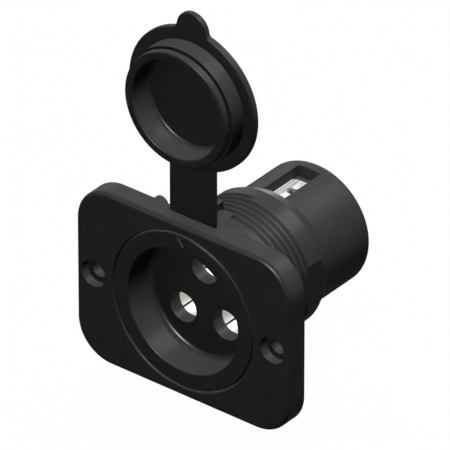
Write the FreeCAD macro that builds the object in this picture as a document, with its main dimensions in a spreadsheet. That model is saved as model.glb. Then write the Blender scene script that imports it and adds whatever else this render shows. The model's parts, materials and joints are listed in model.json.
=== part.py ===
import FreeCAD, Part
import math
import os
import types
import Sketcher
from FreeCAD import Vector, Placement, Rotation

# Trolling motor receptacle: a flanged power socket for a boat's deck, with a rubber cap on a strap.
# Millimetres. +Z is up, the front looks towards -Y and the barrel runs along +Y.
# The origin is the centre of the mounting plate's back face, on the axis of the barrel.

# Driving dimensions. The design grows outwards from the contacts, which take a standard pin.
dimensions = {
    # contacts
    "contact_bore_radius": 4.36,
    "contact_gap": 0.92,
    "contact_angle": 40.47,
    "contact_top_inset": 0.684,
    "contact_clearance": 0.1,
    "sleeve_wall": 0.89,
    "sleeve_length": 11.0,
    "bore_extra": 4.0,
    "collar_step": 0.6,
    "collar_length": 5.8,
    "slot_width": 0.6,
    "slot_depth": 10.0,
    "block_step": 0.7,
    "block_length": 21.2,
    "block_flat_depth": 1.05,
    "block_edge_radius": 0.9,
    "wire_wall": 2.5,
    "wire_depth": 14.5,
    "spring_setback": 2.5,
    "spring_width": 4.0,
    "spring_thickness": 0.45,
    "spring_gap": 1.0,
    "clamp_setback": 5.2,
    "clamp_hole_radius": 1.75,
    "clamp_clearance": 0.05,
    "clamp_length": 2.0,
    "clamp_sink": 0.4,
    "clamp_socket_radius": 0.95,
    "clamp_socket_depth": 1.4,
    # socket body
    "mouth_wall": 1.76,
    "mouth_depth": 9.2,
    "floor_radius": 1.6,
    "web_thickness": 4.0,
    "carrier_wall": 1.25,
    "post_radius": 3.0,
    "post_inset": 4.78,
    "post_angle": 24.7,
    "barrel_wall": 2.1,
    "barrel_clearance": 0.15,
    "barrel_flat_depth": 1.1,
    "barrel_taper_length": 3.6,
    "barrel_taper_depth": 1.6,
    "lip_overhang": 2.95,
    "lip_thickness": 2.2,
    "lip_clearance": 0.3,
    "lip_edge_radius": 0.35,
    "key_inner_side": 3.6,
    "key_width": 5.4,
    "key_height": 1.7,
    "key_end": 15.4,
    "mark_inset": 1.06,
    "mark_outset": 0.95,
    "mark_half_width": 1.95,
    "mark_depth": 0.9,
    # external thread
    "thread_pitch": 2.0,
    "thread_turns": 4.99,
    "thread_start": 13.1,
    "thread_start_turn": 3.0,
    "thread_depth": 0.72,
    "thread_groove": 1.95,
    "thread_root": 0.5,
    # rear housing
    "housing_thin_wall": 1.716,
    "housing_wall": 2.2,
    "housing_clearance": 0.12,
    "housing_front_gap": 0.2,
    "housing_overlap": 7.0,
    "housing_back": 2.6,
    "housing_edge_radius": 2.0,
    "housing_tube_wall": 1.35,
    "housing_post_radius": 2.8,
    "wire_entry_radius": 4.2,
    "wire_entry_length": 5.5,
    "window_half_width": 3.6,
    "window_tuck": 1.0,
    "window_extra": 1.5,
    "seal_setback": 1.9,
    "seal_groove_width": 1.8,
    "seal_groove_depth": 1.1,
    "seal_radius": 0.6,
    # housing screws
    "long_screw_radius": 1.2,
    "long_screw_clearance": 0.3,
    "long_screw_bite": 10.0,
    "pilot_clearance": 0.05,
    "pilot_extra": 1.5,
    "long_screw_head_radius": 2.4,
    "long_screw_head_height": 1.5,
    "long_screw_head_recess": 1.7,
    "long_screw_drive_radius": 1.1,
    "long_screw_drive_depth": 0.8,
    # gasket under the lip
    "gasket_thickness": 0.5,
    "gasket_width": 2.0,
    # mounting plate
    "plate_ledge": 1.38,
    "plate_rim": 1.4,
    "plate_back": 0.84,
    "plate_corner_radius": 11.0,
    "plate_edge_radius": 1.2,
    "screw_half_spacing": 29.4,
    "screw_outer_margin": 1.7,
    "screw_hole_radius": 2.25,
    "screw_head_radius": 3.9,
    "screw_head_depth": 2.6,
    "peg_offset": 13.1,
    "peg_radius": 2.3,
    "peg_length": 1.9,
    # rubber cap and strap
    "strap_width": 14.5,
    "strap_thickness": 1.23,
    "strap_side_clearance": 0.35,
    "strap_face_clearance": 0.05,
    "ring_width": 4.2,
    "ring_side_clearance": 0.3,
    "ring_bore_clearance": 0.3,
    "bend_height": 1.93,
    "bend_gap": 0.3,
    "closed_gap": 0.3,
    "cap_overlap": 2.36,
    "cap_face": 3.9,
    "cap_thickness": 1.9,
    "plug_clearance": 1.09,
    "plug_base_length": 4.6,
    "plug_lip_step": 0.65,
    "plug_lip_wall": 2.5,
    "plug_length": 6.8,
    "plug_groove_width": 0.5,
    "plug_groove_depth": 0.5,
    "tab_radius": 4.9,
    "tab_rise": 0.1,
    "tab_thickness": 1.3,
    "tab_blend_radius": 2.2,
    "cap_edge_radius": 0.45,
    "cap_floor_radius": 1.1,
}

doc = FreeCAD.newDocument("receptacle")
sheet = doc.addObject("Spreadsheet::Sheet", "Sizes")
for row, (alias, number) in enumerate(dimensions.items(), 1):
    sheet.set("A%d" % row, alias)
    sheet.set("B%d" % row, str(number))
    sheet.setAlias("B%d" % row, alias)
doc.recompute()


class Size:
    """A length that knows both its value and the spreadsheet formula that gives it."""

    def __init__(self, value, formula):
        self.value = value
        self.formula = formula

    def __add__(self, other):
        other = as_size(other)
        return Size(self.value + other.value, "(%s + %s)" % (self.formula, other.formula))

    def __sub__(self, other):
        other = as_size(other)
        return Size(self.value - other.value, "(%s - %s)" % (self.formula, other.formula))

    def __mul__(self, other):
        other = as_size(other)
        return Size(self.value * other.value, "(%s * %s)" % (self.formula, other.formula))

    def __truediv__(self, other):
        other = as_size(other)
        return Size(self.value / other.value, "(%s / %s)" % (self.formula, other.formula))

    def __neg__(self):
        return Size(-self.value, "(0 - %s)" % self.formula)

    __radd__ = __add__
    __rmul__ = __mul__

    def __rsub__(self, other):
        return as_size(other) - self


def as_size(number):
    return number if isinstance(number, Size) else Size(float(number), repr(float(number)))


def cosine(angle):
    return Size(math.cos(math.radians(angle.value)), "cos(%s * 1deg)" % angle.formula)


def sine(angle):
    return Size(math.sin(math.radians(angle.value)), "sin(%s * 1deg)" % angle.formula)


def root(area):
    return Size(math.sqrt(area.value), "sqrt(%s)" % area.formula)


d = types.SimpleNamespace(**{
    alias: Size(float(number), "Sizes." + alias) for alias, number in dimensions.items()
})


def plane(body, role):
    return next(item for item in body.Origin.OriginFeatures if item.Role == role)


def new_body(name):
    body = doc.addObject("PartDesign::Body", name)
    body.Label = name
    return body


def new_sketch(body, role, offset, turn=0):
    """A sketch on one of the body's own planes, moved along the plane's normal by offset."""
    offset = as_size(offset)
    sketch = body.newObject("Sketcher::SketchObject", "Sketch")
    sketch.AttachmentSupport = (plane(body, role), [""])
    sketch.MapMode = "FlatFace"
    sketch.AttachmentOffset = Placement(Vector(0, 0, offset.value), Rotation(Vector(1, 0, 0), turn))
    sketch.setExpression("AttachmentOffset.Base.z", offset.formula)
    return sketch


def bind(sketch, kind, geometry, point, amount):
    """Ties one coordinate of a sketch point to a size, measured from the sketch's origin."""
    amount = as_size(amount)
    index = sketch.addConstraint(Sketcher.Constraint(kind, -1, 1, geometry, point, amount.value))
    sketch.setExpression("Constraints[%d]" % index, amount.formula)


def polygon(sketch, points):
    """A closed outline through the points, each of which is tied to its two coordinates."""
    points = [(as_size(x), as_size(y)) for x, y in points]
    corners = [Vector(x.value, y.value, 0) for x, y in points]
    first = sketch.GeometryCount
    for index, corner in enumerate(corners):
        sketch.addGeometry(Part.LineSegment(corner, corners[(index + 1) % len(corners)]), False)
    for index in range(len(corners)):
        following = first + (index + 1) % len(corners)
        sketch.addConstraint(Sketcher.Constraint("Coincident", first + index, 2, following, 1))
    for index, (x, y) in enumerate(points):
        bind(sketch, "DistanceX", first + index, 1, x)
        bind(sketch, "DistanceY", first + index, 1, y)


def rectangle(sketch, left, right, low, high):
    polygon(sketch, [(left, low), (right, low), (right, high), (left, high)])


def circle(sketch, x, y, radius):
    x, y, radius = as_size(x), as_size(y), as_size(radius)
    centre = Vector(x.value, y.value, 0)
    index = sketch.addGeometry(Part.Circle(centre, Vector(0, 0, 1), radius.value), False)
    bind(sketch, "DistanceX", index, 3, x)
    bind(sketch, "DistanceY", index, 3, y)
    constraint = sketch.addConstraint(Sketcher.Constraint("Radius", index, radius.value))
    sketch.setExpression("Constraints[%d]" % constraint, radius.formula)


def flatted_circle(sketch, radius, flat):
    """A circle cut by two upright flats, the outline of the keyed barrel hole."""
    corner_angle = math.acos(flat.value / radius.value)
    corner_height = radius.value * math.sin(corner_angle)
    round_edge = Part.Circle(Vector(0, 0, 0), Vector(0, 0, 1), radius.value)
    first = sketch.GeometryCount
    sketch.addGeometry(Part.ArcOfCircle(round_edge, corner_angle, math.pi - corner_angle), False)
    left_top, left_low = Vector(-flat.value, corner_height, 0), Vector(-flat.value, -corner_height, 0)
    right_top, right_low = Vector(flat.value, corner_height, 0), Vector(flat.value, -corner_height, 0)
    sketch.addGeometry(Part.LineSegment(left_top, left_low), False)
    sketch.addGeometry(Part.ArcOfCircle(round_edge, math.pi + corner_angle, -corner_angle), False)
    sketch.addGeometry(Part.LineSegment(right_low, right_top), False)
    for start, following in ((first, first + 1), (first + 1, first + 2), (first + 2, first + 3)):
        sketch.addConstraint(Sketcher.Constraint("Coincident", start, 2, following, 1))
    sketch.addConstraint(Sketcher.Constraint("Coincident", first + 3, 2, first, 1))
    for arc in (first, first + 2):
        sketch.addConstraint(Sketcher.Constraint("Coincident", arc, 3, -1, 1))
    for line in (first + 1, first + 3):
        sketch.addConstraint(Sketcher.Constraint("Vertical", line))
    constraint = sketch.addConstraint(Sketcher.Constraint("Radius", first, radius.value))
    sketch.setExpression("Constraints[%d]" % constraint, radius.formula)
    bind(sketch, "DistanceX", first + 1, 1, -flat)
    bind(sketch, "DistanceX", first + 3, 1, flat)


def feature(body, kind, sketch):
    made = body.newObject("PartDesign::" + kind, kind)
    made.Profile = sketch
    sketch.Visibility = False
    return made


def pad(body, front, rear, draw, *outline):
    """Adds a prism along Y from front to rear, drawn in X and Z."""
    sketch = new_sketch(body, "XZ_Plane", -as_size(rear))
    draw(sketch, *outline)
    made = feature(body, "Pad", sketch)
    length = as_size(rear) - front
    made.Length = length.value
    made.setExpression("Length", length.formula)
    return made


def pocket(body, front, rear, draw, *outline):
    """Cuts a prism along Y from front to rear, drawn in X and Z."""
    sketch = new_sketch(body, "XZ_Plane", -as_size(front))
    draw(sketch, *outline)
    made = feature(body, "Pocket", sketch)
    length = as_size(rear) - front
    made.Length = length.value
    made.setExpression("Length", length.formula)
    return made


def upright_pocket(body, low, high, draw, *outline, upwards=False):
    """Cuts a prism along Z between two heights, drawn in X and Y."""
    low, high = as_size(low), as_size(high)
    sketch = new_sketch(body, "XY_Plane", low if upwards else high)
    draw(sketch, *outline)
    made = feature(body, "Pocket", sketch)
    made.Reversed = upwards
    length = high - low
    made.Length = length.value
    made.setExpression("Length", length.formula)
    return made


def turned(body, kind, draw, *outline):
    """A revolution or groove about the Y axis, drawn as distance along Y and radius."""
    sketch = new_sketch(body, "YZ_Plane", 0)
    draw(sketch, *outline)
    made = feature(body, kind, sketch)
    made.ReferenceAxis = (sketch, ["H_Axis"])
    made.Angle = 360
    return made


def round_edges(body, radius, wanted):
    """Rounds the edges of the body's present shape that the test picks out."""
    doc.recompute()
    tip = body.Tip
    names = ["Edge%d" % (i + 1) for i, edge in enumerate(tip.Shape.Edges) if wanted(edge)]
    if not names:
        raise RuntimeError("no edge to round on " + body.Label)
    made = body.newObject("PartDesign::Fillet", "Fillet")
    made.Base = (tip, names)
    made.Radius = radius.value
    made.setExpression("Radius", radius.formula)
    return made


def near(a, b):
    return abs(a - b) < 0.01


def is_rim(edge, depth, radius):
    """True for a round edge about the body's Y axis at this depth and with this radius."""
    if not isinstance(edge.Curve, Part.Circle):
        return False
    centre = edge.Curve.Center
    on_axis = near(centre.x, 0) and near(centre.z, 0)
    return on_axis and near(centre.y, depth.value) and near(edge.Curve.Radius, radius.value)


def move(body, x, z, turn=0):
    """Puts a piece that was drawn on its own axis where that axis lies on the receptacle."""
    x, z = as_size(x), as_size(z)
    body.Placement = Placement(Vector(x.value, 0, z.value), Rotation(Vector(0, 1, 0), turn))
    body.setExpression("Placement.Base.x", x.formula)
    body.setExpression("Placement.Base.z", z.formula)


# Radii, from the contacts' bores outwards. A piece that goes round another adds its wall or gap.
d.sleeve_radius = d.contact_bore_radius + d.sleeve_wall
d.collar_radius = d.sleeve_radius + d.collar_step
d.block_radius = d.collar_radius + d.block_step
d.block_flat = d.block_radius - d.block_flat_depth
d.wire_radius = d.block_flat - d.wire_wall
d.contact_spread = d.block_radius + d.contact_gap / 2
d.contact_circle = d.contact_spread / cosine(d.contact_angle)
d.contact_drop = d.contact_circle * sine(d.contact_angle)
d.contact_rise = d.contact_circle - d.contact_top_inset
sleeve_space = d.collar_radius + d.contact_clearance
block_space = d.block_radius + d.contact_clearance
d.housing_radius = d.contact_circle + block_space + d.housing_thin_wall
d.post_distance = d.housing_radius - d.post_inset
d.barrel_bore_radius = d.housing_radius + d.housing_clearance
d.barrel_radius = d.barrel_bore_radius + d.barrel_wall
d.barrel_flat = d.barrel_radius - d.barrel_flat_depth
d.barrel_end_radius = d.barrel_radius - d.barrel_taper_depth
d.mouth_radius = d.barrel_radius - d.mouth_wall
d.lip_radius = d.barrel_radius + d.lip_overhang
d.key_top = d.barrel_radius + d.key_height
key_left = -(d.key_inner_side + d.key_width)
key_right = -d.key_inner_side
hole_radius = d.barrel_radius + d.barrel_clearance
hole_flat = d.barrel_flat + d.barrel_clearance
ring_bore = d.barrel_radius + d.ring_bore_clearance
d.ring_radius = ring_bore + d.ring_width
recess_radius = d.ring_radius + d.ring_side_clearance
plate_top = recess_radius + d.plate_rim
plate_side = d.screw_half_spacing + d.screw_head_radius + d.screw_outer_margin
d.cap_radius = d.mouth_radius + d.cap_overlap
d.plug_radius = d.mouth_radius - d.plug_clearance
d.plug_lip_radius = d.plug_radius - d.plug_lip_step
d.plug_bore_radius = d.plug_lip_radius - d.plug_lip_wall
d.tab_offset = d.cap_radius + d.tab_rise

# Levels along the barrel axis, from the plate's front to the back of the housing.
strap_back = -d.plate_back
strap_front = strap_back - d.strap_thickness
recess_front = strap_front - d.strap_face_clearance
gasket_back = recess_front - d.plate_ledge
lip_back = gasket_back - d.gasket_thickness
plate_front = lip_back - d.lip_thickness
mouth_floor = plate_front + d.mouth_depth
web_back = mouth_floor + d.web_thickness
sleeve_end = web_back + d.sleeve_length
d.carrier_end = sleeve_end + d.collar_length
d.block_end = d.carrier_end + d.block_length
block_stop = d.block_end + d.contact_clearance
d.housing_front = d.carrier_end + d.housing_front_gap
d.barrel_end = d.housing_front + d.housing_overlap
taper_start = d.barrel_end - d.barrel_taper_length
d.housing_end = block_stop + d.wire_entry_length
d.clamp_position = d.block_end - d.clamp_setback
d.window_start = d.barrel_end - d.window_tuck
d.window_end = d.block_end + d.window_extra
d.seal_groove_front = d.housing_front + d.seal_setback

# The three contacts, seen from the front: one above the axis and two below it.
# The upper one's clamp flat faces up, the lower ones' flats face down.
contacts = {
    "top": (Size(0.0, "0"), d.contact_rise, 0),
    "left": (-d.contact_spread, -d.contact_drop, 180),
    "right": (d.contact_spread, -d.contact_drop, 180),
}

# The three screws that hold the rear housing lie between the contacts.
posts = {
    "left": (-d.post_distance * cosine(d.post_angle), d.post_distance * sine(d.post_angle)),
    "right": (d.post_distance * cosine(d.post_angle), d.post_distance * sine(d.post_angle)),
    "bottom": (Size(0.0, "0"), -d.post_distance),
}

# Mounting plate: a moulded plate with a keyed hole for the barrel, a counterbore for the body's
# lip, a recess in the back for the strap's ring, and two pegs at the top of the back.
plate = new_body("flange_plate")
pad(plate, plate_front, 0, rectangle, -plate_side, plate_side, -plate_top, plate_top)
round_edges(plate, d.plate_corner_radius,
            lambda edge: near(edge.BoundBox.YLength, -plate_front.value))
round_edges(plate, d.plate_edge_radius,
            lambda edge: near(edge.BoundBox.YMax, plate_front.value))
for side in (-1, 1):
    pad(plate, plate_front / 2, d.peg_length, circle,
        side * d.peg_offset, plate_top - d.peg_radius, d.peg_radius)
pocket(plate, plate_front, 0, flatted_circle, hole_radius, hole_flat)
pocket(plate, gasket_back, 0, rectangle, key_left - d.barrel_clearance, key_right + d.barrel_clearance,
       d.barrel_bore_radius, d.key_top + d.barrel_clearance)
pocket(plate, plate_front, gasket_back, circle, 0, 0, d.lip_radius + d.lip_clearance)
pocket(plate, recess_front, 0, circle, 0, 0, recess_radius)
strap_slot = d.strap_width / 2 + d.strap_side_clearance
pocket(plate, recess_front, 0, rectangle,
       -strap_slot, strap_slot, d.barrel_radius, plate_top + d.peg_radius)
for side in (-1, 1):
    across = side * d.screw_half_spacing
    pocket(plate, plate_front, 0, circle, across, 0, d.screw_hole_radius)
    pocket(plate, plate_front, plate_front + d.screw_head_depth, circle, across, 0, d.screw_head_radius)
round_edges(plate, d.lip_edge_radius,
            lambda edge: is_rim(edge, plate_front, d.lip_radius + d.lip_clearance))

# Socket body: lip, socket mouth and threaded barrel in one moulding. The web at the floor of the
# mouth carries three tubes that hold the contacts and three posts for the housing screws.
socket = new_body("receptacle_body")
turned(socket, "Revolution", polygon, [
    (plate_front, d.mouth_radius), (plate_front, d.lip_radius), (lip_back, d.lip_radius),
    (lip_back, d.barrel_radius), (taper_start, d.barrel_radius), (d.barrel_end, d.barrel_end_radius),
    (d.barrel_end, d.barrel_bore_radius), (web_back, d.barrel_bore_radius), (web_back, 0),
    (mouth_floor, 0), (mouth_floor, d.mouth_radius),
])
for x, z, turn in contacts.values():
    pad(socket, mouth_floor + d.web_thickness / 2, d.carrier_end, circle,
        x, z, sleeve_space + d.carrier_wall)
for x, z in posts.values():
    pad(socket, mouth_floor + d.web_thickness / 2, d.carrier_end, circle, x, z, d.post_radius)
for side in (-1, 1):
    pocket(socket, lip_back, d.barrel_end, rectangle,
           side * d.barrel_flat, side * (d.barrel_flat + d.lip_radius), -d.lip_radius, d.lip_radius)
for x, z, turn in contacts.values():
    pocket(socket, mouth_floor, web_back, circle, x, z, d.contact_bore_radius)
    pocket(socket, web_back, d.carrier_end, circle, x, z, sleeve_space)
pilot_radius = d.long_screw_radius + d.pilot_clearance
pilot_end = d.carrier_end - d.long_screw_bite - d.pilot_extra
for x, z in posts.values():
    pocket(socket, pilot_end, d.carrier_end, circle, x, z, pilot_radius)
pocket(socket, plate_front, plate_front + d.mark_depth, polygon,
       [(0, d.mouth_radius + d.mark_inset), (d.mark_half_width, d.lip_radius - d.mark_outset),
        (-d.mark_half_width, d.lip_radius - d.mark_outset)])
round_edges(socket, d.floor_radius, lambda edge: is_rim(edge, mouth_floor, d.mouth_radius))
round_edges(socket, d.lip_edge_radius,
            lambda edge: is_rim(edge, plate_front, d.mouth_radius)
            or is_rim(edge, plate_front, d.lip_radius))

# The thread is one moulded groove that winds along the barrel and runs out across the flats.
thread_sketch = new_sketch(socket, "YZ_Plane", 0, d.thread_start_turn.value)
thread_sketch.setExpression("AttachmentOffset.Rotation.Angle", d.thread_start_turn.formula)
groove_overshoot = 0.1
groove_foot = d.barrel_radius - d.thread_depth
groove_lip = d.barrel_radius + groove_overshoot
polygon(thread_sketch, [
    (d.thread_start - d.thread_root / 2, groove_foot), (d.thread_start - d.thread_groove / 2, groove_lip),
    (d.thread_start + d.thread_groove / 2, groove_lip), (d.thread_start + d.thread_root / 2, groove_foot),
])
doc.recompute()
thread = feature(socket, "SubtractiveHelix", thread_sketch)
thread.ReferenceAxis = (plane(socket, "Y_Axis"), [""])
thread.Mode = "pitch-turns-angle"
thread.LeftHanded = False
thread.Angle = 0
thread.setExpression("Pitch", d.thread_pitch.formula)
thread.setExpression("Turns", d.thread_turns.formula)

# The key rib stands across the first turns, so that it is solid where they pass it.
pad(socket, gasket_back, d.key_end, rectangle, key_left, key_right, d.barrel_bore_radius, d.key_top)

# Gasket: a flat rubber ring between the body's lip and the plate.
gasket = new_body("lip_gasket")
turned(gasket, "Revolution", rectangle,
       lip_back, gasket_back, d.lip_radius - d.gasket_width, d.lip_radius)

# Rear housing: a moulded cup that closes the back of the barrel. Its tubes hold the contacts'
# clamp blocks, and a window over each block lets a screwdriver reach the clamp screw.
housing = new_body("rear_housing")
housing_bore = d.housing_radius - d.housing_wall
back_wall = d.housing_end - d.housing_back
turned(housing, "Revolution", polygon, [
    (d.housing_front, housing_bore), (d.housing_front, d.housing_radius),
    (d.housing_end, d.housing_radius), (d.housing_end, 0), (back_wall, 0), (back_wall, housing_bore),
])
round_edges(housing, d.housing_edge_radius,
            lambda edge: is_rim(edge, d.housing_end, d.housing_radius))
for x, z, turn in contacts.values():
    pad(housing, d.housing_front, back_wall + d.housing_back / 2, circle,
        x, z, block_space + d.housing_tube_wall)
for x, z in posts.values():
    pad(housing, d.housing_front, back_wall + d.housing_back / 2, circle, x, z, d.housing_post_radius)
for x, z, turn in contacts.values():
    pocket(housing, d.housing_front, block_stop, circle, x, z, block_space)
    pocket(housing, d.housing_front, d.housing_end, circle, x, z, d.wire_entry_radius)
for x, z in posts.values():
    pocket(housing, d.housing_front, d.housing_end, circle, x, z,
           d.long_screw_radius + d.long_screw_clearance)
    pocket(housing, d.housing_end - d.long_screw_head_recess, d.housing_end, circle, x, z,
           d.long_screw_head_radius + d.long_screw_clearance)
upright_pocket(housing, d.contact_rise + d.block_flat, d.housing_radius + d.housing_wall, rectangle,
               -d.window_half_width, d.window_half_width, d.window_start, d.window_end)
for side in (-1, 1):
    across = side * d.contact_spread
    upright_pocket(housing, -d.housing_radius - d.housing_wall, -d.contact_drop - d.block_flat, rectangle,
                   across - d.window_half_width, across + d.window_half_width,
                   d.window_start, d.window_end, upwards=True)
seal_groove_floor = d.housing_radius - d.seal_groove_depth
turned(housing, "Groove", rectangle, d.seal_groove_front, d.seal_groove_front + d.seal_groove_width,
       seal_groove_floor, d.housing_radius + d.seal_groove_depth)

# Rear seal: a rubber ring in the housing's groove, against the inside of the barrel.
rear_seal = new_body("rear_seal")
turned(rear_seal, "Revolution", circle,
       d.seal_groove_front + d.seal_groove_width / 2, seal_groove_floor + d.seal_radius, d.seal_radius)

# Contacts: turned and nickel-plated brass, a slotted socket in front and a clamp block behind.
contact_mouth = web_back
wire_floor = d.block_end - d.wire_depth
slot_half = d.slot_width / 2
diagonal = math.sqrt(0.5)
for name, (x, z, turn) in contacts.items():
    contact = new_body("contact_" + name)
    turned(contact, "Revolution", polygon, [
        (contact_mouth, d.contact_bore_radius), (contact_mouth, d.sleeve_radius),
        (sleeve_end, d.sleeve_radius), (sleeve_end, d.collar_radius), (d.carrier_end, d.collar_radius),
        (d.carrier_end, d.block_radius), (d.block_end, d.block_radius), (d.block_end, d.wire_radius),
        (wire_floor, d.wire_radius), (wire_floor, 0),
        (sleeve_end + d.bore_extra, 0), (sleeve_end + d.bore_extra, d.contact_bore_radius),
    ])
    round_edges(contact, d.block_edge_radius, lambda edge: is_rim(edge, d.block_end, d.block_radius))
    reach = d.collar_radius + d.slot_width
    for side in (-1, 1):
        along, beside = diagonal * reach, diagonal * slot_half
        pocket(contact, contact_mouth, contact_mouth + d.slot_depth, polygon, [
            (along - beside, side * (along + beside)), (-along - beside, side * (beside - along)),
            (beside - along, side * (-along - beside)), (along + beside, side * (along - beside)),
        ])
    pocket(contact, d.carrier_end, d.block_end, rectangle,
           -d.block_radius, d.block_radius, d.block_flat, d.block_radius + d.slot_width)
    upright_pocket(contact, 0, d.block_radius, circle, 0, d.clamp_position, d.clamp_hole_radius)
    move(contact, x, z, turn)

    # A split spring collar keeps the four fingers of the socket closed on the plug's pin.
    spring = new_body("contact_spring_" + name)
    spring_front = contact_mouth + d.spring_setback
    turned(spring, "Revolution", rectangle, spring_front, spring_front + d.spring_width,
           d.sleeve_radius, d.sleeve_radius + d.spring_thickness)
    pocket(spring, spring_front, spring_front + d.spring_width, rectangle,
           -d.spring_gap / 2, d.spring_gap / 2, 0, d.block_radius)
    move(spring, x, z, turn)

    # A socket set screw in the block clamps the boat's wire.
    clamp = new_body("clamp_screw_" + name)
    clamp_top = d.block_flat - d.clamp_sink
    sketch = new_sketch(clamp, "XY_Plane", clamp_top - d.clamp_length)
    circle(sketch, 0, d.clamp_position, d.clamp_hole_radius - d.clamp_clearance)
    shank = feature(clamp, "Pad", sketch)
    shank.setExpression("Length", d.clamp_length.formula)
    upright_pocket(clamp, clamp_top - d.clamp_socket_depth, clamp_top,
                   circle, 0, d.clamp_position, d.clamp_socket_radius)
    move(clamp, x, z, turn)

# Housing screws: long thread-forming screws from the back into the body's posts.
for name, (x, z) in posts.items():
    screw = new_body("housing_screw_" + name)
    head_seat = d.housing_end - d.long_screw_head_recess
    head_top = head_seat + d.long_screw_head_height
    turned(screw, "Revolution", polygon, [
        (d.carrier_end - d.long_screw_bite, 0), (d.carrier_end - d.long_screw_bite, d.long_screw_radius),
        (head_seat, d.long_screw_radius), (head_seat, d.long_screw_head_radius),
        (head_top, d.long_screw_head_radius), (head_top, 0),
    ])
    pocket(screw, head_top - d.long_screw_drive_depth, head_top, circle, 0, 0, d.long_screw_drive_radius)
    move(screw, x, z)

# Strap and cap are one rubber moulding. It is drawn as three pieces that meet at two bends.
strap_middle = strap_front + d.strap_thickness / 2
strap_half = d.strap_width / 2
bend_radius = d.strap_thickness / 2
cap_front = plate_front + d.cap_face
lower_bend = plate_top + d.bend_height
link_length = 2 * (strap_middle - plate_front) - (cap_front - plate_front) + d.closed_gap
upper_bend = lower_bend + link_length
cap_height = lower_bend + upper_bend

# The ring at the foot of the strap lies round the barrel, in the recess in the plate's back.
ring = new_body("tether_ring")
pad(ring, strap_front, strap_back, circle, 0, 0, d.ring_radius)
pad(ring, strap_front, strap_back, rectangle,
    -strap_half, strap_half, d.barrel_radius, lower_bend - bend_radius - d.bend_gap)
pocket(ring, strap_front, strap_back, circle, 0, 0, ring_bore)
pocket(ring, strap_front, strap_back, rectangle,
       key_left - d.ring_bore_clearance, key_right + d.ring_bore_clearance,
       d.barrel_bore_radius, d.key_top + d.ring_bore_clearance)

# The stretch of strap between the two bends, with ends rounded about the bend axes.
link = new_body("tether_link")
for height in (lower_bend, upper_bend):
    sketch = new_sketch(link, "YZ_Plane", -strap_half)
    circle(sketch, strap_middle, height, bend_radius)
    feature(link, "Pad", sketch).setExpression("Length", d.strap_width.formula)
pad(link, strap_front, strap_back, rectangle, -strap_half, strap_half, lower_bend, upper_bend)

def arc(sketch, centre, start, end, radius):
    """An arc that runs counter-clockwise between two points, and whose radius is tied to a size."""
    angles = [math.atan2(y.value - centre[1].value, x.value - centre[0].value) for x, y in (start, end)]
    middle = Vector(centre[0].value, centre[1].value, 0)
    whole = Part.Circle(middle, Vector(0, 0, 1), radius.value)
    index = sketch.addGeometry(Part.ArcOfCircle(whole, *angles), False)
    constraint = sketch.addConstraint(Sketcher.Constraint("Radius", index, radius.value))
    sketch.setExpression("Constraints[%d]" % constraint, radius.formula)
    return index


def tab_outline(sketch):
    """The tab's round end, the two hollow blends that lead into the disc, and a chord of the disc."""
    disc_reach = d.cap_radius + d.tab_blend_radius
    tab_reach = d.tab_radius + d.tab_blend_radius
    blend_z = disc_reach * disc_reach - tab_reach * tab_reach + d.tab_offset * d.tab_offset
    blend_z = blend_z / (2 * d.tab_offset)
    blend_x = root(disc_reach * disc_reach - blend_z * blend_z)
    foot_x, foot_z = blend_x * d.cap_radius / disc_reach, blend_z * d.cap_radius / disc_reach
    side_x = blend_x * d.tab_radius / tab_reach
    side_z = d.tab_offset + (blend_z - d.tab_offset) * d.tab_radius / tab_reach
    sides = [(side_x, side_z), (-side_x, side_z)]
    feet = [(foot_x, foot_z), (-foot_x, foot_z)]
    tip = arc(sketch, (0 * blend_x, d.tab_offset), sides[0], sides[1], d.tab_radius)
    left = arc(sketch, (-blend_x, blend_z), feet[1], sides[1], d.tab_blend_radius)
    right = arc(sketch, (blend_x, blend_z), sides[0], feet[0], d.tab_blend_radius)
    ends = [Vector(x.value, z.value, 0) for x, z in feet]
    chord = sketch.addGeometry(Part.LineSegment(ends[1], ends[0]), False)
    for joint in ((tip, 1, right, 1), (tip, 2, left, 2), (left, 1, chord, 1), (right, 2, chord, 2)):
        sketch.addConstraint(Sketcher.Constraint("Coincident", *joint))
    fixed = ((tip, 1), (tip, 2), (chord, 2), (chord, 1))
    for (geometry, point), (x, z) in zip(fixed, sides + feet):
        bind(sketch, "DistanceX", geometry, point, x)
        bind(sketch, "DistanceY", geometry, point, z)


def is_cap_outline(edge):
    """True for the outer edges of the disc and tab and both edges of the plug's open rim."""
    box = edge.BoundBox
    if not near(box.YLength, 0):
        return False
    reach = max(math.hypot(v.X, v.Z) for v in edge.Vertexes)
    at_front = near(box.YMin, cap_front.value) and reach > d.cap_radius.value - 0.01
    at_back = is_rim(edge, disc_back, d.cap_radius)
    at_rim = near(box.YMin, plug_rim.value)
    return at_front or at_back or at_rim


# Cap: a disc with a hollow plug that closes the socket mouth, a pull tab and the strap's upper end.
cap = new_body("sealing_cap")
disc_back = cap_front + d.cap_thickness
plug_rim = cap_front - d.plug_length
plug_groove_rear = cap_front - d.plug_base_length
plug_groove_front = plug_groove_rear - d.plug_groove_width
plug_groove_floor = d.plug_lip_radius - d.plug_groove_depth
turned(cap, "Revolution", polygon, [
    (disc_back, 0), (disc_back, d.cap_radius), (cap_front, d.cap_radius), (cap_front, d.plug_radius),
    (plug_groove_rear, d.plug_radius), (plug_groove_rear, plug_groove_floor),
    (plug_groove_front, plug_groove_floor), (plug_groove_front, d.plug_lip_radius),
    (plug_rim, d.plug_lip_radius), (plug_rim, d.plug_bore_radius),
    (cap_front, d.plug_bore_radius), (cap_front, 0),
])
pad(cap, cap_front, cap_front + d.tab_thickness, tab_outline)
round_edges(cap, d.cap_floor_radius, lambda edge: is_rim(edge, cap_front, d.plug_bore_radius))
round_edges(cap, d.cap_edge_radius, is_cap_outline)
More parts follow.
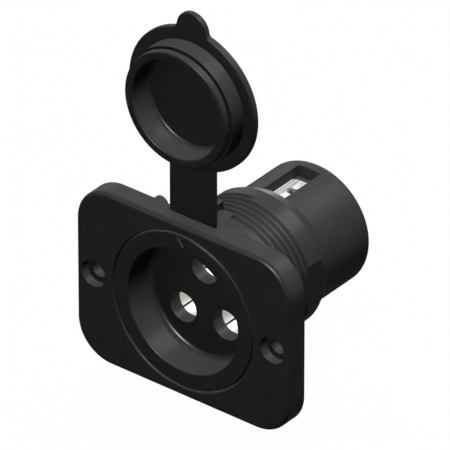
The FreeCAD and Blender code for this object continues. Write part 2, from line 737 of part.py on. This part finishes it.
pad(cap, strap_front, strap_back, rectangle, -strap_half, strap_half,
    upper_bend + bend_radius + d.bend_gap - cap_height, -d.plug_radius)
move(cap, 0, cap_height)

doc.recompute()

bodies = [item for item in doc.Objects if item.TypeId == "PartDesign::Body"]
for item in doc.Objects:
    if "Invalid" in item.State or "Error" in item.State:
        raise RuntimeError("failed: %s %s" % (item.Label, item.State))
for body in bodies:
    if body.Shape.isNull() or not body.Shape.isValid():
        raise RuntimeError("bad shape: " + body.Label)
    if len(body.Shape.Solids) != 1:
        raise RuntimeError("not one solid: %s has %d" % (body.Label, len(body.Shape.Solids)))

os.makedirs("parts", exist_ok=True)
for body in bodies:
    body.Shape.exportStep(os.path.join("parts", body.Label + ".step"))
    print(body.Label, round(body.Shape.Volume, 3))
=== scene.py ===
import json
from math import cos, radians, sin

import bmesh
import bpy
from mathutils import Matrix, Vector


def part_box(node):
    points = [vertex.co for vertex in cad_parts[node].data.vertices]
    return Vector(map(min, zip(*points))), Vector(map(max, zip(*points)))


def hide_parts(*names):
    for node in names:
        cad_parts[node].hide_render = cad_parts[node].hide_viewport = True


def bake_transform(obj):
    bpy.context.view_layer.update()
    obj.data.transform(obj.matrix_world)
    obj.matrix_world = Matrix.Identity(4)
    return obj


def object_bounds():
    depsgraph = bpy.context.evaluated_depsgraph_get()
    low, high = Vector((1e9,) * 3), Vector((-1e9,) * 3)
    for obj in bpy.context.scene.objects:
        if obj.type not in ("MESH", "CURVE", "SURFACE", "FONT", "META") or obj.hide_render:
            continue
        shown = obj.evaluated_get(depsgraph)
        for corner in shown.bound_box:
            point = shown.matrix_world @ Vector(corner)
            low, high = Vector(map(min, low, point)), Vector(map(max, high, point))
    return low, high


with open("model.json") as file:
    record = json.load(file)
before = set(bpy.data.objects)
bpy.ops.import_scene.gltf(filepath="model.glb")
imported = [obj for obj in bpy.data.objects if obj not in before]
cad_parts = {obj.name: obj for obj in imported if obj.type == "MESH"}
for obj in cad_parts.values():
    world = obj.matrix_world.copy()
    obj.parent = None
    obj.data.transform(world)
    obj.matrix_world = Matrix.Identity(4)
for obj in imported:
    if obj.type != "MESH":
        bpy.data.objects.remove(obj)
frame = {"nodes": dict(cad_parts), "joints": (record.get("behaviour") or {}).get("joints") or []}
cad_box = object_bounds()
nodes = frame["nodes"]
mm = 0.001


# Mounting plate: an oblong plate with rounded corners, screwed to the panel through two counterbored
# holes. It is moulded in black glass-filled nylon in a finely spark-eroded mould, so it is satin and
# slightly grained, with faint cloudy patches where the glass lies near the surface.
def new_group(name, inputs, outputs):
    group = bpy.data.node_groups.new(name, "ShaderNodeTree")
    for label, kind in inputs:
        group.interface.new_socket(label, in_out="INPUT", socket_type=kind)
    for label, kind in outputs:
        group.interface.new_socket(label, in_out="OUTPUT", socket_type=kind)
    return group, group.nodes.new("NodeGroupInput"), group.nodes.new("NodeGroupOutput")


def add_node(tree, kind, **settings):
    node = tree.nodes.new(kind)
    for name, value in settings.items():
        setattr(node, name, value)
    return node


# The skin of a moulding: fine grain, broad cloudy patches, and a colour between two tones. Scales are
# counted in each metre.
cloud_scale = 120.0
cloud_detail = 3.0
grain_detail = 2.0
grain_in_colour = 0.35
grain_height = 0.02 * mm
skin, skin_in, skin_out = new_group(
    "moulded_skin",
    [("Dark", "NodeSocketColor"), ("Light", "NodeSocketColor"), ("Grain", "NodeSocketFloat"),
     ("Cloud", "NodeSocketFloat"), ("Smooth", "NodeSocketFloat"), ("Rough", "NodeSocketFloat")],
    [("Color", "NodeSocketColor"), ("Roughness", "NodeSocketFloat"), ("Height", "NodeSocketFloat")])
place = add_node(skin, "ShaderNodeTexCoord")
grain = add_node(skin, "ShaderNodeTexNoise", noise_dimensions="3D")
grain.inputs["Detail"].default_value = grain_detail
cloud = add_node(skin, "ShaderNodeTexNoise", noise_dimensions="3D")
cloud.inputs["Detail"].default_value = cloud_detail
tone = add_node(skin, "ShaderNodeMix", data_type="RGBA")
mottle = add_node(skin, "ShaderNodeMath", operation="MULTIPLY_ADD")
mottle.inputs[1].default_value = grain_in_colour
sheen = add_node(skin, "ShaderNodeMix", data_type="FLOAT")
skin.links.new(place.outputs["Object"], grain.inputs["Vector"])
skin.links.new(place.outputs["Object"], cloud.inputs["Vector"])
skin.links.new(skin_in.outputs["Grain"], grain.inputs["Scale"])
skin.links.new(skin_in.outputs["Cloud"], cloud.inputs["Scale"])
skin.links.new(grain.outputs["Fac"], mottle.inputs[0])
skin.links.new(cloud.outputs["Fac"], mottle.inputs[2])
skin.links.new(mottle.outputs[0], tone.inputs["Factor"])
skin.links.new(skin_in.outputs["Dark"], tone.inputs["A"])
skin.links.new(skin_in.outputs["Light"], tone.inputs["B"])
skin.links.new(cloud.outputs["Fac"], sheen.inputs["Factor"])
skin.links.new(skin_in.outputs["Smooth"], sheen.inputs["A"])
skin.links.new(skin_in.outputs["Rough"], sheen.inputs["B"])
skin.links.new(tone.outputs["Result"], skin_out.inputs["Color"])
skin.links.new(sheen.outputs["Result"], skin_out.inputs["Roughness"])
skin.links.new(grain.outputs["Fac"], skin_out.inputs["Height"])


def new_material(name):
    material = bpy.data.materials.new(name)
    material.use_nodes = True
    return material, material.node_tree, material.node_tree.nodes["Principled BSDF"]


def apply_finish(tree, shader, finish, relief, height):
    bump = add_node(tree, "ShaderNodeBump")
    bump.inputs["Strength"].default_value = relief
    bump.inputs["Distance"].default_value = height
    tree.links.new(finish.outputs["Color"], shader.inputs["Base Color"])
    tree.links.new(finish.outputs["Roughness"], shader.inputs["Roughness"])
    tree.links.new(finish.outputs["Height"], bump.inputs["Height"])
    tree.links.new(bump.outputs["Normal"], shader.inputs["Normal"])


def moulded_material(name, dark, light, gloss, grain_scale, relief, smooth, rough):
    material, tree, shader = new_material(name)
    finish = add_node(tree, "ShaderNodeGroup", node_tree=skin)
    finish.inputs["Dark"].default_value = (*dark, 1)
    finish.inputs["Light"].default_value = (*light, 1)
    finish.inputs["Grain"].default_value = grain_scale
    finish.inputs["Cloud"].default_value = cloud_scale
    finish.inputs["Smooth"].default_value = smooth
    finish.inputs["Rough"].default_value = rough
    shader.inputs["Specular IOR Level"].default_value = 0.0
    shader.inputs["Coat Weight"].default_value = gloss
    shader.inputs["Coat Roughness"].default_value = rough
    apply_finish(tree, shader, finish, relief, grain_height)
    return material


def dress(node, material):
    for slot in nodes[node].material_slots:
        slot.material = material


nylon_dark = (0.050, 0.0495, 0.047)
nylon_light = (0.070, 0.069, 0.0655)
nylon_gloss = 0.05
dress("flange_plate", moulded_material(
    "grained_black_nylon", nylon_dark, nylon_light, nylon_gloss,
    grain_scale=3600, relief=0.3, smooth=0.24, rough=0.36))


# Body: the lip, the socket mouth, the web and the threaded barrel are one moulding in the same nylon.
# Its mould is turned and polished rather than grained, so it is a little smoother than the plate.
dress("receptacle_body", moulded_material(
    "turned_black_nylon", nylon_dark, nylon_light, nylon_gloss,
    grain_scale=5200, relief=0.15, smooth=0.18, rough=0.28))


# Lip gasket and rear seal: a flat ring stamped from soft black rubber sheet, and a round ring moulded in
# the same rubber. They have a dull skin with a fine bloom and are held between the mouldings.
seal_dark = (0.040, 0.040, 0.039)
seal_light = (0.064, 0.064, 0.062)
rubber_gloss = 0.04
seal_rubber = moulded_material(
    "dull_seal_rubber", seal_dark, seal_light, rubber_gloss,
    grain_scale=2600, relief=0.4, smooth=0.60, rough=0.75)
dress("lip_gasket", seal_rubber)
dress("rear_seal", seal_rubber)


# Contacts: turned brass sockets with slotted fingers and a clamp block, plated with bright nickel.
# Fine turning rings run round each one's own axis, and the plating has faint cloudy patches.
ring_waver = 1.5
ring_detail = 2.0
ring_height = 0.01 * mm
stain_scale = 260.0
stain_detail = 3.0
turned, turned_in, turned_out = new_group(
    "turned_metal",
    [("Axis", "NodeSocketVector"), ("Rings", "NodeSocketFloat"), ("Dark", "NodeSocketColor"),
     ("Light", "NodeSocketColor"), ("Smooth", "NodeSocketFloat"), ("Rough", "NodeSocketFloat")],
    [("Color", "NodeSocketColor"), ("Roughness", "NodeSocketFloat"), ("Height", "NodeSocketFloat")])
turned_place = add_node(turned, "ShaderNodeTexCoord")
centred = add_node(turned, "ShaderNodeVectorMath", operation="SUBTRACT")
rings = add_node(turned, "ShaderNodeTexWave", wave_type="RINGS", rings_direction="Y")
rings.inputs["Distortion"].default_value = ring_waver
rings.inputs["Detail"].default_value = ring_detail
stain = add_node(turned, "ShaderNodeTexNoise", noise_dimensions="3D")
stain.inputs["Scale"].default_value = stain_scale
stain.inputs["Detail"].default_value = stain_detail
turned_tone = add_node(turned, "ShaderNodeMix", data_type="RGBA")
turned_sheen = add_node(turned, "ShaderNodeMix", data_type="FLOAT")
turned.links.new(turned_place.outputs["Object"], centred.inputs[0])
turned.links.new(turned_in.outputs["Axis"], centred.inputs[1])
turned.links.new(centred.outputs["Vector"], rings.inputs["Vector"])
turned.links.new(turned_place.outputs["Object"], stain.inputs["Vector"])
turned.links.new(turned_in.outputs["Rings"], rings.inputs["Scale"])
turned.links.new(stain.outputs["Fac"], turned_tone.inputs["Factor"])
turned.links.new(turned_in.outputs["Dark"], turned_tone.inputs["A"])
turned.links.new(turned_in.outputs["Light"], turned_tone.inputs["B"])
turned.links.new(rings.outputs["Fac"], turned_sheen.inputs["Factor"])
turned.links.new(turned_in.outputs["Smooth"], turned_sheen.inputs["A"])
turned.links.new(turned_in.outputs["Rough"], turned_sheen.inputs["B"])
turned.links.new(turned_tone.outputs["Result"], turned_out.inputs["Color"])
turned.links.new(turned_sheen.outputs["Result"], turned_out.inputs["Roughness"])
turned.links.new(rings.outputs["Fac"], turned_out.inputs["Height"])


def metal_material(name, axis, dark, light, ring_scale, relief, smooth, rough, metallic=1.0):
    material, tree, shader = new_material(name)
    finish = add_node(tree, "ShaderNodeGroup", node_tree=turned)
    finish.inputs["Axis"].default_value = axis
    finish.inputs["Rings"].default_value = ring_scale
    finish.inputs["Dark"].default_value = (*dark, 1)
    finish.inputs["Light"].default_value = (*light, 1)
    finish.inputs["Smooth"].default_value = smooth
    finish.inputs["Rough"].default_value = rough
    shader.inputs["Metallic"].default_value = metallic
    apply_finish(tree, shader, finish, relief, ring_height)
    return material


def middle(node):
    low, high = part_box(node)
    return (low + high) / 2


sides = ("top", "left", "right")
nickel_dark = (0.78, 0.77, 0.75)
nickel_light = (0.92, 0.91, 0.88)
nickel_metallic = 0.75
for side in sides:
    dress(f"contact_{side}", metal_material(
        f"bright_nickel_{side}", middle(f"contact_spring_{side}"), nickel_dark, nickel_light,
        ring_scale=700, relief=0.2, smooth=0.30, rough=0.45, metallic=nickel_metallic))


# Spring collars: split rings of blued spring strip, rolled and snapped round the socket fingers.
# The strip is smooth and blue-black.
spring_dark = (0.035, 0.035, 0.040)
spring_light = (0.075, 0.075, 0.085)
for side in sides:
    name = f"contact_spring_{side}"
    dress(name, metal_material(
        f"spring_strip_{side}", middle(name), spring_dark, spring_light,
        ring_scale=300, relief=0.1, smooth=0.22, rough=0.40))


# Clamp screws: short zinc-plated socket set screws, turned down on the wire in each clamp block.
# The plating is a dull dark grey.
zinc_dark = (0.10, 0.10, 0.10)
zinc_light = (0.20, 0.20, 0.205)
for side in sides:
    name = f"clamp_screw_{side}"
    dress(name, metal_material(
        f"dull_zinc_{side}", middle(name), zinc_dark, zinc_light,
        ring_scale=1200, relief=0.3, smooth=0.30, rough=0.48))


# Rear housing: a deep moulded cup that closes the back of the barrel, with a window over each clamp
# screw. It is moulded in the same nylon as the body and held by three screws, and its skin is a little
# duller than the plate's.
dress("rear_housing", moulded_material(
    "drawn_black_nylon", nylon_dark, nylon_light, nylon_gloss,
    grain_scale=4600, relief=0.2, smooth=0.28, rough=0.40))


# Housing screws: long stainless pan-head screws that run forward from the rear face into the web.
# Their heads are bright and lightly turned.
steel_dark = (0.42, 0.42, 0.42)
steel_light = (0.66, 0.66, 0.66)
for spot in ("left", "right", "bottom"):
    name = f"housing_screw_{spot}"
    dress(name, metal_material(
        f"stainless_{spot}", middle(name), steel_dark, steel_light,
        ring_scale=1400, relief=0.3, smooth=0.24, rough=0.40))


# Strap foot and lower strap: the ring round the barrel and the strap that rises from it through the
# plate's slot. It is moulded rubber in one with the cap, and above the plate it runs straight up to meet
# the cap's strap.
cap_dark = (0.050, 0.050, 0.048)
cap_light = (0.068, 0.068, 0.065)
cap_rubber = moulded_material(
    "matt_cap_rubber", cap_dark, cap_light, rubber_gloss,
    grain_scale=2400, relief=0.35, smooth=0.22, rough=0.32)
lower_hinge = Vector(frame["joints"][0]["pos_m"])
upper_hinge = Vector(frame["joints"][1]["pos_m"])
strap_join = (lower_hinge.z + upper_hinge.z) / 2
strap_steps = 16
merge_reach = 0.0005 * mm
cut_reach = 0.0002 * mm
sharp_edge_angle = radians(35)


def cut_copy(node, height, keep_below):
    mesh = bmesh.new()
    mesh.from_mesh(nodes[node].data)
    bmesh.ops.remove_doubles(mesh, verts=mesh.verts, dist=merge_reach)
    cut = bmesh.ops.bisect_plane(
        mesh, geom=mesh.verts[:] + mesh.edges[:] + mesh.faces[:], dist=cut_reach,
        plane_co=(0, 0, height), plane_no=(0, 0, 1), clear_outer=keep_below, clear_inner=not keep_below)
    rim = [item for item in cut["geom_cut"] if isinstance(item, bmesh.types.BMEdge)]
    return mesh, rim


def run_strap(mesh, rim, distance):
    for _ in range(strap_steps):
        grown = bmesh.ops.extrude_edge_only(mesh, edges=rim)["geom"]
        moved = [item for item in grown if isinstance(item, bmesh.types.BMVert)]
        bmesh.ops.translate(mesh, verts=moved, vec=(0, 0, distance / strap_steps))
        rim = [item for item in grown if isinstance(item, bmesh.types.BMEdge)
               and all(vert in moved for vert in item.verts)]
    bmesh.ops.holes_fill(mesh, edges=rim, sides=0)


def rubber_piece(mesh, name):
    bmesh.ops.recalc_face_normals(mesh, faces=mesh.faces)
    data = bpy.data.meshes.new(name)
    mesh.to_mesh(data)
    mesh.free()
    data.attributes.remove(data.attributes["custom_normal"])
    data.polygons.foreach_set("use_smooth", [True] * len(data.polygons))
    data.set_sharp_from_angle(angle=sharp_edge_angle)
    data.materials.append(cap_rubber)
    piece = bpy.data.objects.new(name, data)
    bpy.context.scene.collection.objects.link(piece)
    return piece


plate_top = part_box("flange_plate")[1].z
foot, foot_rim = cut_copy("tether_ring", plate_top, keep_below=True)
run_strap(foot, foot_rim, strap_join - plate_top)
strap_foot = rubber_piece(foot, "strap_foot")
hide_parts("tether_ring", "tether_link")
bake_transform(strap_foot)


# Cap and upper strap: a disc with a pull tab, a hollow plug for the socket mouth and the strap's upper
# end. It is the other end of the same rubber moulding, with a faint bloom in its skin.
cap_end_trim = 1.2 * mm
cap_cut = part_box("sealing_cap")[0].z + cap_end_trim
cap, cap_rim = cut_copy("sealing_cap", cap_cut, keep_below=False)
run_strap(cap, cap_rim, strap_join - cap_cut)
cap_moulding = rubber_piece(cap, "cap_moulding")
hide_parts("sealing_cap")
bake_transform(cap_moulding)


# Floor and surround: a plain pale floor under the part and an even pale surround. Seen by the camera,
# or mirrored in the part, both are white, and the floor keeps a trace of the part's shadow. On the
# part itself they throw very little light, so the mouldings stay black.
floor_size = 6.0
floor_mesh = bmesh.new()
bmesh.ops.create_grid(floor_mesh, x_segments=1, y_segments=1, size=floor_size / 2)
bmesh.ops.translate(floor_mesh, verts=floor_mesh.verts, vec=(0, 0, cad_box[0].z))
floor_data = bpy.data.meshes.new("floor")
floor_mesh.to_mesh(floor_data)
floor_mesh.free()
floor = bpy.data.objects.new("floor", floor_data)
bpy.context.scene.collection.objects.link(floor)


def seen_rays(tree):
    rays = add_node(tree, "ShaderNodeLightPath")
    camera_or_glossy = add_node(tree, "ShaderNodeMath", operation="MAXIMUM")
    seen = add_node(tree, "ShaderNodeMath", operation="MAXIMUM")
    tree.links.new(rays.outputs["Is Camera Ray"], camera_or_glossy.inputs[0])
    tree.links.new(rays.outputs["Is Glossy Ray"], camera_or_glossy.inputs[1])
    tree.links.new(camera_or_glossy.outputs[0], seen.inputs[0])
    tree.links.new(rays.outputs["Is Transmission Ray"], seen.inputs[1])
    return seen.outputs[0]


floor_grey = 0.04
floor_pale = 0.90
floor_roughness = 0.9
shadow_share = 0.03
floor_paint, floor_tree, floor_shader = new_material("pale_floor")
floor_shader.inputs["Base Color"].default_value = (floor_grey, floor_grey, floor_grey, 1)
floor_shader.inputs["Roughness"].default_value = floor_roughness
floor_shader.inputs["Specular IOR Level"].default_value = 0.0
floor_white = add_node(floor_tree, "ShaderNodeEmission")
floor_shaded = add_node(floor_tree, "ShaderNodeBsdfDiffuse")
floor_shaded.inputs["Color"].default_value = (floor_pale, floor_pale, floor_pale, 1)
floor_seen = add_node(floor_tree, "ShaderNodeMixShader")
floor_seen.inputs["Fac"].default_value = 1 - shadow_share
floor_mix = add_node(floor_tree, "ShaderNodeMixShader")
floor_tree.links.new(floor_shaded.outputs["BSDF"], floor_seen.inputs[1])
floor_tree.links.new(floor_white.outputs["Emission"], floor_seen.inputs[2])
floor_tree.links.new(seen_rays(floor_tree), floor_mix.inputs["Fac"])
floor_tree.links.new(floor_shader.outputs["BSDF"], floor_mix.inputs[1])
floor_tree.links.new(floor_seen.outputs["Shader"], floor_mix.inputs[2])
floor_tree.links.new(floor_mix.outputs["Shader"], floor_tree.nodes["Material Output"].inputs["Surface"])
floor_data.materials.append(floor_paint)

surround_fill = 0.03
world = bpy.data.worlds.new("pale_surround")
bpy.context.scene.world = world
world.use_nodes = True
surround = world.node_tree.nodes["Background"]
surround.inputs["Color"].default_value = (1, 1, 1, 1)
surround_strength = add_node(world.node_tree, "ShaderNodeMapRange")
surround_strength.inputs["To Min"].default_value = surround_fill
surround_strength.inputs["To Max"].default_value = 1.0
world.node_tree.links.new(seen_rays(world.node_tree), surround_strength.inputs["Value"])
world.node_tree.links.new(surround_strength.outputs["Result"], surround.inputs["Strength"])


# Lamps: a broad soft lamp above the part, a stronger one in the same place that throws no shadow, and
# a third behind. Three more light no matt surface and only make highlights: one in front and two behind.
part_middle = (cad_box[0] + cad_box[1]) / 2
highlight_distance = 1.6


def soft_lamp(name, azimuth, elevation, distance, width, height, power):
    turn = radians(azimuth)
    rise = radians(elevation)
    lamp_data = bpy.data.lights.new(name, "AREA")
    lamp_data.shape = "RECTANGLE"
    lamp_data.size = width
    lamp_data.size_y = height
    lamp_data.energy = power
    lamp = bpy.data.objects.new(name, lamp_data)
    away = Vector((sin(turn) * cos(rise), -cos(turn) * cos(rise), sin(rise)))
    lamp.location = part_middle + away * distance
    lamp.rotation_euler = away.to_track_quat("Z", "Y").to_euler()
    bpy.context.scene.collection.objects.link(lamp)
    return lamp


def highlight_lamp(name, azimuth, elevation, width, height, power):
    lamp = soft_lamp(name, azimuth, elevation, highlight_distance, width, height, power)
    lamp.visible_diffuse = False
    lamp.data.use_shadow = False
    lamp.data.cycles.max_bounces = 0


soft_lamp("lamp_above", azimuth=30, elevation=79, distance=1.2, width=0.45, height=0.45, power=1.4)
even_lamp = soft_lamp(
    "lamp_even", azimuth=30, elevation=79, distance=1.2, width=0.45, height=0.45, power=13.2)
even_lamp.data.use_shadow = False
soft_lamp("lamp_behind", azimuth=215, elevation=8, distance=1.0, width=0.8, height=0.6, power=6.0)
highlight_lamp("glint_front", azimuth=-4, elevation=16, width=0.16, height=0.16, power=300.0)
highlight_lamp("glint_behind", azimuth=212, elevation=-8, width=0.16, height=0.12, power=13.0)
highlight_lamp("sheen_behind", azimuth=158, elevation=44, width=0.7, height=0.7, power=34.0)


# Camera: it stands to the right of the part's front and above it, far off with a long lens, as the
# photograph was taken.
view_azimuth = radians(38.7656)
view_elevation = radians(32.6193)
view_distance = 2.5
aim_right = 11.044 * mm
aim_up = 22.158 * mm
lens_length_mm = 780.1
film_width_mm = 36
clip_distance = 20
front_centre = Vector((0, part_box("receptacle_body")[0].y, 0))
to_camera = Vector((sin(view_azimuth) * cos(view_elevation),
                    -cos(view_azimuth) * cos(view_elevation), sin(view_elevation)))
rightwards = Vector((cos(view_azimuth), sin(view_azimuth), 0))
upwards = to_camera.cross(rightwards)
aim = front_centre + rightwards * aim_right + upwards * aim_up
camera_data = bpy.data.cameras.new("camera")
camera_data.lens = lens_length_mm
camera_data.sensor_width = film_width_mm
camera_data.clip_end = clip_distance
camera = bpy.data.objects.new("camera", camera_data)
camera.location = front_centre + to_camera * view_distance
camera.rotation_euler = (camera.location - aim).to_track_quat("Z", "Y").to_euler()
bpy.context.scene.collection.objects.link(camera)
bpy.context.scene.camera = camera
bpy.context.scene.view_settings.view_transform = "Standard"

bpy.context.view_layer.update()
